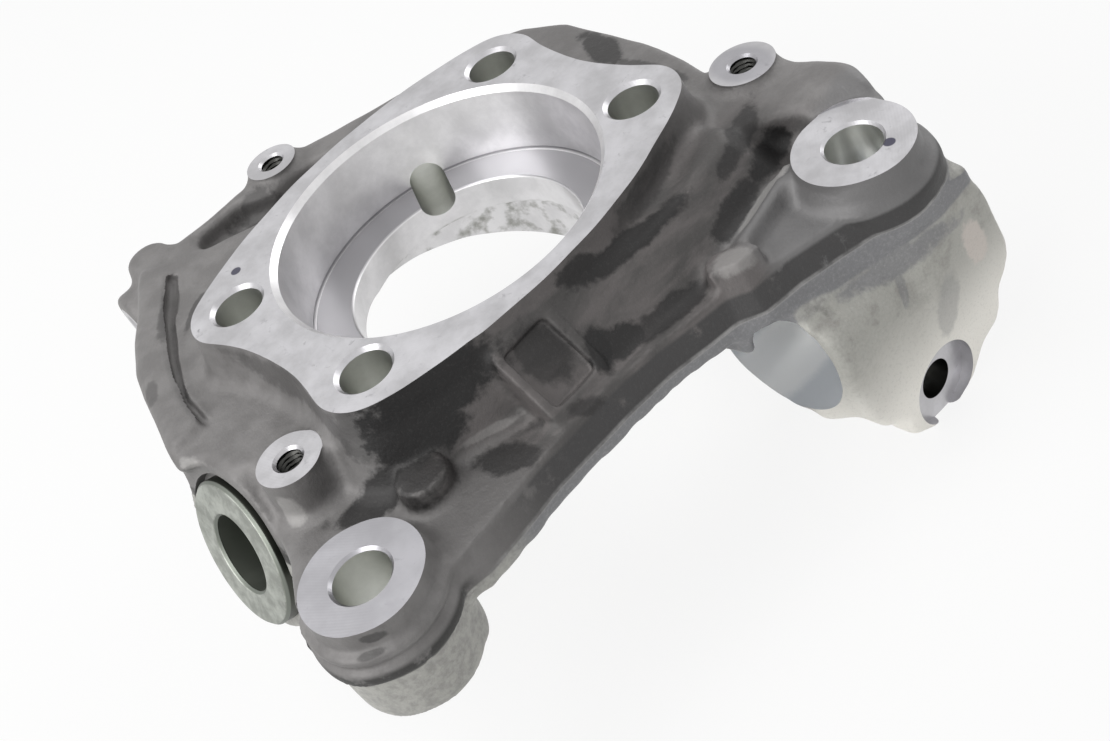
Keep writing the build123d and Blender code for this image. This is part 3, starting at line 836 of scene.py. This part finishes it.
# Dark patches, partly where the skin kept its release coat and partly painted shade in the valleys and
# pockets beside the flange and the lugs: start, end, half width and strength
DARK_COAT_AND_SHADE = (
    ((-5, -50, -3), (4, -51.3, -7), 3.4, 0.9),
    ((14, -51, -5), (42, -43, -5), 3.6, 0.55),
    ((-2, -51.2, -7.6), (30.4, -55, -9), 3.0, 0.95),
    ((66.5, -45.7, -12.5), (43.4, -55.5, -12), 3.2, 0.8),
    ((66, -54, -18.5), (47.5, -59.5, -18), 3.8, 1.0),
    ((47.5, -59.2, -18), (29.5, -62.8, -18.5), 3.6, 0.9),
    ((-12.2, -60.1, -16.5), (0, -62.8, -21), 3.8, 0.95),
    ((-3, -63.0, -21), (18, -67.7, -21.5), 3.6, 0.85),
    ((-8.4, -57.9, -15.7), (-12.3, -62.7, -18.6), 3.6, 1.0),
    ((-56, -37.7, -4), (-30, -47.4, -5), 8.5, 1.0),
    ((-57, -37.7, -10), (-44, -45, -12), 7.0, 1.0),
    ((-45.3, -53.4, -21.5), (-39.2, -61.8, -21.6), 4.2, 0.8),
    ((-73.2, -33.1, -21.0), (-58.4, -41.8, -17.5), 5.0, 0.9),
    ((-58, -32, -3), (-61, -34, -10), 5.5, 0.5),
    ((-19, -50.4, -8.1), (-20.5, -57.5, -15.7), 6.0, 0.7),
    ((-33, -57, -21.5), (-19, -68, -21.5), 2.4, 0.7),
    ((77, 22, -12.6), (70, 6, -12.5), 4.0, 0.8),
    ((70, 5, -12.5), (69, -20, -12.5), 2.6, 0.6),
    ((-49, 70, -10.5), (-61, 56, -10.5), 2.4, 0.5),
    ((-73, 44, -10.5), (-77, 38, -11), 2.4, 0.45),
    ((-44, 61, -12.6), (-55, 54, -12.5), 1.6, 0.6),
    ((-25, 80, -16), (6, 80, -17), 5.0, 0.6),
    ((31.5, -86, -37), (33, -88, -46), 2.6, 0.45),
    ((-59, 16, -4), (-58, -18, -5), 4.4, 0.4),
    ((-58, -20, -4), (-60, -30, -6), 4.4, 0.45),
    ((-60, -46.5, -17.5), (-54, -46.5, -17.5), 6.4, 0.75),
    ((-94.5, -68.3, -16.6), (-90, -70.4, -17.2), 1.3, 0.6),
    ((-96.5, -67.0, -20.3), (-91.5, -70.5, -20.4), 0.9, 0.5),
)

# Places rubbed or blasted lighter than what is round them, and painted highlights on the tops of ridges and
# raised edges
LIGHT_RUBS_AND_HIGHLIGHTS = (
    ((21.0, -70.5, -17.2), (26, -74, -17.2), 3.4, 0.5),
    ((55.3, -62.9, -18.2), (31, -66.8, -20.0), 1.8, 0.75),
    ((-58, -39.6, -19.2), (-32, -53.6, -19.6), 1.2, 0.3),
    ((-79.1, -21.3, -15.5), (-78.5, -22.6, -21.5), 2.8, 0.6),
    ((-84.5, 12, -13), (-84.5, 0, -12.5), 2.6, 0.6),
)

# The flank's grey painted shade runs down onto the fork's near wall, where a warm pale facet lies beside it
GREY_SHADE_PATCHES = (
    ((37, -85, -38.0), (68, -95, -39.0), 3.8, 0.85),
    ((51, -92, -41), (49, -94, -48), 1.7, 0.6),
    ((27, -82, -37), (34, -86, -42), 2.6, 0.5),
    ((62, -96, -52), (57, -96, -64), 4.0, 0.35),
)
WARM_PATCHES = (((73, -96, -45), (75, -96, -54), 3.6, 0.75),)

# Painted highlight along the bright side of the fork's bore, the darker boss face and the inspector's ink
# dots
FORK_HIGHLIGHT = (((22, -61.0, -64.4), (46, -62.6, -65.8), 9.0, 1.0),)
DARKER_FACES = (((75, -35.6, -10), (77, -35.6, -10), 9.6, 1.0),)
INK_DOTS = (
    ((-39.8, 37.9, 0.0), (-39.0, 38.7, 0.0), 1.4, 0.9),
    ((65.8, -86.8, -14.4), (66.6, -86.0, -14.4), 1.5, 0.9),
)

# How far a streak runs past its ends in half widths, and how soft its rim and an ink dot's rim are
STREAK_END = 0.6
STREAK_RIM = 0.2
DOT_RIM = 0.1

# Distance between the milling rings, drawn coarser than the real ones so that they show
RING_SPACING = 0.748


def streaks(tree, place, ragged, patches, rim=STREAK_RIM):
    """Streaks, the strongest of them where they overlap. Each is a mask as high as its strength inside an
    ellipsoid drawn from its start to its end, and 0 outside, with its rim moved by the ragged value.
    Places and half widths are in millimetres."""
    most = None
    for start, finish, half, strength in patches:
        start, finish = Vector(start), Vector(finish)
        run = finish - start
        long = run.length / 2 + half * STREAK_END
        local = put(
            tree,
            "Mapping",
            {
                "Vector": place,
                "Location": tuple((start + finish) / 2 * MM),
                "Rotation": tuple(run.to_track_quat("X", "Z").to_euler()),
                "Scale": (long * MM, half * MM, half * MM),
            },
            vector_type="TEXTURE",
        )
        away = put(tree, "VectorMath", {0: local}, "Value", operation="LENGTH")
        moved = put(tree, "Math", {0: away, 1: ragged}, operation="ADD")
        inputs = {"Value": moved, "From Min": 1.0 + rim, "From Max": 1.0 - rim, "To Max": strength}
        mask = put(tree, "MapRange", inputs, interpolation_type="SMOOTHSTEP")
        most = mask if most is None else put(tree, "Math", {0: most, 1: mask}, operation="MAXIMUM")
    return most


def cast_aluminium(tree, place):
    """Raw cast aluminium: a fine sand-like skin with a dull sheen. It is grey where it was blasted clean,
    and nearly black in soft patches between the flange and the near edge, which are partly dark skin and
    partly painted shade of the valleys and pockets there. It is pale below the parting line and on the fork,
    where its steep faces are painted grey as shade and the fork's near wall is painted lighter towards its
    foot as light bounced from the floor. A painted highlight runs along the parting edge and over some ridge
    tops. Clouds and grain are given by their width in millimetres, and zones in metres."""
    x, y, z = put(tree, "SeparateXYZ", {0: place}).node.outputs
    tilt = put(tree, "SeparateXYZ", {0: put(tree, "NewGeometry", out="Normal")}, "Z")
    drawn = put(tree, "Mapping", {"Vector": place, "Rotation": (0, 0, -0.12), "Scale": (0.3, 1.0, 1.0)})
    rubbed, clouds, mottle, grain = [
        put(tree, "TexNoise", {"Vector": where, "Scale": 1 / (size * MM), **grade})
        for where, size, grade in (
            (drawn, 7.0, {"Detail": 4.0, "Roughness": 0.55, "Distortion": 0.4}),
            (place, 9.0, {"Detail": 5.0, "Roughness": 0.6}),
            (place, 2.2, {"Detail": 3.0, "Roughness": 0.6}),
            (place, 0.75, {"Detail": 2.0, "Roughness": 0.7}),
        )
    ]
    wide = put(tree, "MapRange", {"Value": clouds, "To Min": -0.5, "To Max": 0.5})
    small = put(tree, "MapRange", {"Value": mottle, "To Min": -0.3, "To Max": 0.3})
    ragged = put(tree, "Math", {0: wide, 1: small}, operation="ADD")

    above = zone(tree, (z, -0.0284, -0.0279))
    plate = zone(tree, (x, 0.024, 0.034), (y, -0.061, -0.065))
    wall = zone(tree, (y, -0.074, -0.080), (z, -0.0345, -0.0360), (x, 0.016, 0.022))
    under, off_plate, off_wall = [
        put(tree, "Math", {0: 1.0, 1: mask}, operation="SUBTRACT") for mask in (above, plate, wall)
    ]
    near = zone(tree, (y, -0.036, -0.047), (x, -0.070, -0.052), (x, 0.074, 0.060), above, off_plate)
    left_web = zone(tree, (x, -0.030, -0.050), (z, -0.0195, -0.0210))
    rail_end = zone(tree, (x, -0.062, -0.035), (clouds, 0.3, 0.42))
    rail = zone(tree, (z, -0.0222, -0.0232), above, (y, -0.058, -0.064), rail_end)
    flank_end = zone(tree, (z, -0.0400, -0.0375), (y, -0.064, -0.068), (x, -0.060, -0.050))
    # Painted shade: steep faces below the parting line are coloured grey
    painted_flank_shade = zone(tree, under, off_wall, flank_end, (tilt, 0.55, 0.3))
    partly = put(tree, "MapRange", {"Value": zone(tree, (clouds, 0.35, 0.65)), "To Min": 0.2})
    # Painted highlight: a light line along the parting edge, broken up by the clouds
    edge_highlight_line = zone(tree, (z, -0.0286, -0.0282), (z, -0.0272, -0.0278))
    edge_highlight = zone(tree, edge_highlight_line, (y, -0.060, -0.066), (x, -0.066, -0.060), partly)
    seam = zone(tree, (z, -0.0300, -0.0292), (z, -0.0248, -0.0262), (x, -0.066, -0.072), (clouds, 0.38, 0.5))
    specked = put(tree, "MapRange", {"Value": under, "To Min": 0.04, "To Max": 0.11})
    chalky = put(tree, "MapRange", {"Value": under, "To Min": 0.015, "To Max": 0.11})

    blasted = layered(tree, "#72706f", (zone(tree, (clouds, 0.35, 0.65)), "#817f7e"))
    # Darker skin on the near side, partly painted shade of the hollow between the flange and the near edge
    coated_and_shaded = layered(tree, "#514f4e", (zone(tree, (rubbed, 0.38, 0.62)), "#676362"), (left_web, "#6b6968"))
    pale = layered(tree, "#9a9995", (zone(tree, (mottle, 0.35, 0.65)), "#adaca7"))
    # The fork's near wall, painted lighter towards its foot as light bounced up from the floor
    wall_bounce_light = layered(
        tree,
        "#aeada7",
        (zone(tree, (z, -0.045, -0.076)), "#f6f3ec"),
        (zone(tree, (clouds, 0.5, 0.66), (z, -0.06, -0.04)), "#9b9994"),
    )
    colour = layered(
        tree,
        blasted,
        (near, coated_and_shaded),
        (zone(tree, plate, above), "#757474"),
        (rail, "#454444"),
        (under, pale),
        (painted_flank_shade, "#858587"),
        (wall, wall_bounce_light),
        (streaks(tree, place, ragged, GREY_SHADE_PATCHES), "#858587"),
        (streaks(tree, place, ragged, WARM_PATCHES), "#d3cac3"),
        (streaks(tree, place, ragged, DARK_COAT_AND_SHADE), "#262525"),
        (streaks(tree, place, ragged, LIGHT_RUBS_AND_HIGHLIGHTS), "#a3a19f"),
        (edge_highlight, "#9b9a99"),
        (seam, "#3d3c3b"),
        (zone(tree, (grain, 0.50, 0.72), specked), "#4c4b49"),
        (zone(tree, (grain, 0.50, 0.30), chalky), "#d4d3d0"),
    )
    coarse = put(tree, "Bump", {"Height": mottle, "Strength": 0.35, "Distance": 0.0004})
    fine = put(tree, "Bump", {"Height": grain, "Strength": 0.35, "Distance": 0.0002, "Normal": coarse})
    rough = put(tree, "MapRange", {"Value": clouds, "To Min": 0.46, "To Max": 0.64})
    return {"Base Color": colour, "Roughness": rough, "Metallic": 0.4, "Normal": fine}


def machined_aluminium(tree, place):
    """Face-milled aluminium: light silver, slightly clouded, with milling rings, rub marks and two ink dots,
    and darker on two of the faces, the lower lug's face as painted shade."""
    x, y = put(tree, "SeparateXYZ", {0: place}).node.outputs[:2]
    wide = {"Scale": 1 / (14.0 * MM), "Detail": 6.0, "Roughness": 0.65}
    narrow = {"Scale": 1 / (3.0 * MM), "Detail": 5.0, "Roughness": 0.7, "Distortion": 0.6}
    clouds, marks = [put(tree, "TexNoise", {"Vector": place, **grade}) for grade in (wide, narrow)]
    # At a scale of 1 the rings of this pattern lie a tenth of pi apart
    rings = put(
        tree,
        "TexWave",
        {"Vector": place, "Scale": math.pi / 10 / (RING_SPACING * MM), "Distortion": 0.6, "Detail": 2.0},
        "Fac",
        wave_type="RINGS",
        rings_direction="Z",
        wave_profile="SIN",
    )
    # The lower lug's face is painted darker as shade, and one boss face is darker
    lower_lug_shade = zone(tree, (x, -0.060, -0.064), (y, -0.036, -0.040))
    darker_faces = put(tree, "Math", {0: lower_lug_shade, 1: streaks(tree, place, 0.0, DARKER_FACES)}, operation="MAXIMUM")
    colour = layered(
        tree,
        "#b0afb1",
        (zone(tree, (clouds, 0.3, 0.7)), "#c9c8cb"),
        (zone(tree, (marks, 0.58, 0.74), (clouds, 0.4, 0.6)), "#9b9a9d"),
        (zone(tree, darker_faces, 0.62), "#96959a"),
        (streaks(tree, place, 0.0, INK_DOTS, DOT_RIM), "#3c3b4e"),
    )
    bump = put(tree, "Bump", {"Height": rings, "Strength": 0.06, "Distance": 0.0001})
    rough = put(tree, "MapRange", {"Value": clouds, "To Min": 0.24, "To Max": 0.42})
    return {"Base Color": colour, "Roughness": rough, "Metallic": 1.0, "Normal": bump}


def bored_aluminium(tree, place):
    """Finish-bored aluminium: its fine rings round the seat's axis draw each highlight out along that
    axis, so the wall goes from grey to white and back as it turns."""
    x, y, z = put(tree, "SeparateXYZ", {0: place}).node.outputs
    minus_y = put(tree, "Math", {0: y, 1: -1.0}, operation="MULTIPLY")
    round_axis = put(tree, "CombineXYZ", {"X": minus_y, "Y": x})
    along = put(tree, "VectorMath", {0: round_axis}, operation="NORMALIZE")
    wide = {"Scale": 1 / (9.0 * MM), "Detail": 5.0, "Roughness": 0.65}
    narrow = {"Scale": 1 / (5.0 * MM), "Detail": 4.0, "Roughness": 0.55}
    clouds, stains = [put(tree, "TexNoise", {"Vector": place, **grade}) for grade in (wide, narrow)]
    colour = layered(
        tree,
        "#d4d3d4",
        (zone(tree, (clouds, 0.3, 0.7)), "#e6e5e6"),
        (zone(tree, (z, -0.0202, -0.0205), (z, -0.0210, -0.0207)), "#a9a8ab"),
        (zone(tree, (z, -0.0288, -0.0298), (stains, 0.45, 0.7)), "#9a9a95"),
    )
    return {
        "Base Color": colour,
        "Roughness": 0.34,
        "Metallic": 1.0,
        "Anisotropic": 0.8,
        "Anisotropic Rotation": 0.25,
        "Tangent": along,
    }


def reamed_aluminium(tree, place):
    """Drilled and reamed aluminium: bright, so that light finds its way down the holes. The fork's wide bore
    is whiter and less mirror-like, with a painted highlight along its lower side."""
    x, y, z = put(tree, "SeparateXYZ", {0: place}).node.outputs
    grade = {"Scale": 1 / (3.5 * MM), "Detail": 4.0, "Roughness": 0.6}
    clouds = put(tree, "TexNoise", {"Vector": place, **grade})
    ragged = put(tree, "MapRange", {"Value": clouds, "To Min": -0.15, "To Max": 0.15})
    fork = zone(tree, (y, -0.046, -0.050), (z, -0.0312, -0.0325), (x, 0.010, 0.018))
    colour = layered(
        tree,
        "#cfd0cc",
        (clouds, "#e9eae6"),
        (fork, "#dfe2e6"),
        # Painted highlight: a white streak along the lower side of the fork's bore
        (streaks(tree, place, ragged, FORK_HIGHLIGHT), "#ffffff"),
    )
    metal = put(tree, "MapRange", {"Value": fork, "To Min": 1.0, "To Max": 0.3})
    return {"Base Color": colour, "Roughness": 0.33, "Metallic": metal}


def dark_thread(tree, place):
    """The cut thread inside the tapped holes, and the wall of the cross bolt's hole: aluminium, coloured
    dark.
    """
    return {"Base Color": linear("#4b4b49"), "Roughness": 0.36, "Metallic": 1.0}


def plated_steel(tree, place):
    """Zinc-plated steel: a satin greenish grey with dull blotches and small rub marks. The side of its
    flange is painted dark as the shade of the collar round it, and its bore a little darker than the face."""
    grade = {"Scale": 1 / (5.263 * MM), "Detail": 6.0, "Roughness": 0.65}
    clouds = put(tree, "TexNoise", {"Vector": place, **grade})
    shifted = put(tree, "VectorMath", {0: place, 1: tuple(BUSHING_FACE * MM)}, operation="SUBTRACT")
    out = tuple(BUSHING_OUT)
    height = put(tree, "VectorMath", {0: shifted, 1: out}, "Value", operation="DOT_PRODUCT")
    aside = put(tree, "VectorMath", {0: shifted, 1: out}, operation="CROSS_PRODUCT")
    radius = put(tree, "VectorMath", {0: aside}, "Value", operation="LENGTH")
    # Painted shade: below the face the flange's side is coloured dark, and the bore inside it a little less
    # dark
    shade_below_face = zone(tree, (height, -0.0008, -0.0012))
    colour = layered(
        tree,
        "#868982",
        (zone(tree, (clouds, 0.35, 0.65)), "#adb0a9"),
        (zone(tree, (clouds, 0.66, 0.74)), "#5b5d57"),
        (zone(tree, (height, -0.0001, -0.0003)), "#757972"),
        (shade_below_face, "#464842"),
        (zone(tree, shade_below_face, (radius, 0.0145, 0.0140)), "#7a7e76"),
    )
    bump = put(tree, "Bump", {"Height": clouds, "Strength": 0.15, "Distance": 0.0002})
    rough = put(tree, "MapRange", {"Value": clouds, "To Min": 0.34, "To Max": 0.52})
    return {"Base Color": colour, "Roughness": rough, "Metallic": 0.85, "Normal": bump}


CAST = material_from("raw cast aluminium", cast_aluminium)
MACHINED = material_from("machined aluminium", machined_aluminium)
THREAD = material_from("dark thread", dark_thread)
PLATED = material_from("zinc plated steel", plated_steel)
SEAT = material_from("bored aluminium", bored_aluminium)
BORE = material_from("reamed aluminium", reamed_aluminium)
CASTING_FINISHES = (CAST, MACHINED, THREAD, SEAT, BORE)


def apply_modifiers(piece):
    """Turns a piece's modifiers into its mesh."""
    ready = piece.evaluated_get(bpy.context.evaluated_depsgraph_get())
    mesh = bpy.data.meshes.new_from_object(ready)
    old = piece.data
    piece.modifiers.clear()
    piece.data = mesh
    bpy.data.meshes.remove(old)


def sharpen_borders(mesh):
    """Keeps the edge crisp wherever two finishes meet."""
    work = bmesh.new()
    work.from_mesh(mesh)
    for edge in work.edges:
        if len({face.material_index for face in edge.link_faces}) > 1:
            edge.smooth = False
    work.to_mesh(mesh)
    work.free()


def finish_of(name, point):
    """The finish that a machining cut leaves, from the cut's name and the place on it."""
    height = point.z / MM
    if name.startswith("cut_seat"):
        return SEAT
    if name.startswith("cut_boss"):
        return THREAD if height < BOSS_LEVEL - THREAD_LEAD else MACHINED
    if name.startswith("cut_cross"):
        across = math.hypot(point.x / MM - CROSS_X, height - CROSS_Z)
        return THREAD if across < CROSS_RADIUS + 0.2 else MACHINED
    if name.startswith("cut_bolt"):
        return BORE if height < -BOLT_CHAMFER else MACHINED
    if name.startswith("cut_lug"):
        return BORE if height < LUG_LEVEL - LUG_HOLE_CHAMFER else MACHINED
    if name.startswith(("cut_sensor", "cut_fork")):
        return BORE
    # The housing's cut wall round the bushing takes the darker cast finish, as painted shade of its recess
    if name.startswith("cut_housing"):
        return CAST
    return MACHINED


def dressed_casting():
    """The casting: its cast skin, thinned to an even number of triangles, then cut by the machining."""
    box, values = cast_field()
    points, triangles, quads = box.write(values).convertToPolygons(0.0, 0.0)
    faces = triangles[:, ::-1].tolist() + quads[:, ::-1].tolist()
    piece = object_from("knuckle_skin", points, faces)
    for finish in CASTING_FINISHES:
        piece.data.materials.append(finish)
    thin = piece.modifiers.new("thin", "DECIMATE")
    thin.ratio = TRIANGLE_GOAL / (len(triangles) + 2 * len(quads))
    apply_modifiers(piece)
    for cutter in machining_cutters():
        for finish in CASTING_FINISHES:
            cutter.data.materials.append(finish)
        for polygon in cutter.data.polygons:
            polygon.material_index = CASTING_FINISHES.index(finish_of(cutter.name, polygon.center))
        cut = piece.modifiers.new("cut", "BOOLEAN")
        cut.operation = "DIFFERENCE"
        cut.solver = "MANIFOLD"
        cut.material_mode = "INDEX"
        cut.object = cutter
        apply_modifiers(piece)
        bpy.data.objects.remove(cutter)
    piece.data.polygons.foreach_set("use_smooth", np.ones(len(piece.data.polygons), dtype=bool))
    piece.data.set_sharp_from_angle(angle=math.radians(38.0))
    sharpen_borders(piece.data)
    return piece


casting = dressed_casting()
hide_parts("knuckle_casting")
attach(casting, "root")

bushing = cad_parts["link_bushing"]
bushing.data.materials.clear()
bushing.data.materials.append(PLATED)

# Floor, light and camera

WHITE = (1.0, 1.0, 1.0, 1.0)
FLOOR_GLOW = 0.86
FLOOR_HALF = 6.0
WORLD_LIGHT = 0.38

# Soft square lamps: name, place, size and power
LAMPS = (
    ("lamp_left", (-1.0, -0.05, 0.50), 0.8, 6.9),
    ("lamp_top", (-0.25, 0.35, 1.05), 0.7, 5.0),
    ("lamp_right", (0.85, 0.10, 0.35), 0.6, 2.0),
)
LAMP_TARGET = Vector((0.0, 0.0, -0.03))


def seen_rays(tree):
    """1 for the rays that show the backdrop: from the camera, in a mirror and through glass."""
    ray = put(tree, "LightPath").node.outputs
    seen = put(tree, "Math", {0: ray["Is Camera Ray"], 1: ray["Is Glossy Ray"]}, operation="MAXIMUM")
    return put(tree, "Math", {0: seen, 1: ray["Is Transmission Ray"]}, operation="MAXIMUM")


def floor_finish():
    """A plain white floor that shows white to the camera and still takes a soft shadow."""
    made = bpy.data.materials.new("white floor")
    tree = bare_tree(made)
    share = put(tree, "Math", {0: seen_rays(tree), 1: FLOOR_GLOW}, operation="MULTIPLY")
    cloth = put(tree, "BsdfDiffuse", {"Color": linear("#f4f4f2")})
    glow = put(tree, "Emission", {"Color": WHITE, "Strength": 1.0})
    put(tree, "OutputMaterial", {"Surface": put(tree, "MixShader", {0: share, 1: cloth, 2: glow})})
    return made


lowest = cad_box[0][2]
corners = [(x * FLOOR_HALF, y * FLOOR_HALF, lowest) for x, y in ((-1, -1), (1, -1), (1, 1), (-1, 1))]
floor = bpy.data.objects.new("floor", bpy.data.meshes.new("floor"))
floor.data.from_pydata(corners, [], [(0, 1, 2, 3)])
floor.data.materials.append(floor_finish())
bpy.context.scene.collection.objects.link(floor)

for name, place, size, power in LAMPS:
    light = bpy.data.lights.new(name, "AREA")
    light.size = size
    light.energy = power
    lamp = bpy.data.objects.new(name, light)
    lamp.location = place
    lamp.rotation_euler = (LAMP_TARGET - Vector(place)).to_track_quat("-Z", "Y").to_euler()
    bpy.context.scene.collection.objects.link(lamp)

world = bpy.data.worlds.new("studio")
bpy.context.scene.world = world
sky = bare_tree(world)
dim = put(sky, "Background", {"Color": linear("#f3f4f6"), "Strength": WORLD_LIGHT})
white = put(sky, "Background", {"Color": WHITE, "Strength": 1.0})
put(sky, "OutputWorld", {"Surface": put(sky, "MixShader", {0: seen_rays(sky), 1: dim, 2: white})})

CAMERA_PLACE = (-133.3, -289.6, 206.0)
CAMERA_RIGHT = Vector((0.6441, -0.6666, -0.3751))
CAMERA_UP = Vector((0.6900, 0.2946, 0.6612))
CAMERA_BACK = Vector((-0.3303, -0.6847, 0.6497))
SENSOR_WIDTH = 36.0
LENS_LENGTH = 49.85

lens = bpy.data.cameras.new("camera")
lens.sensor_width = SENSOR_WIDTH
lens.lens = LENS_LENGTH
lens.clip_start = 0.01
camera = bpy.data.objects.new("camera", lens)
turn = Matrix((CAMERA_RIGHT, CAMERA_UP, CAMERA_BACK)).transposed().to_4x4()
camera.matrix_world = Matrix.Translation(Vector(CAMERA_PLACE) * MM) @ turn
bpy.context.scene.collection.objects.link(camera)
bpy.context.scene.camera = camera

bpy.context.scene.view_settings.view_transform = "Standard"
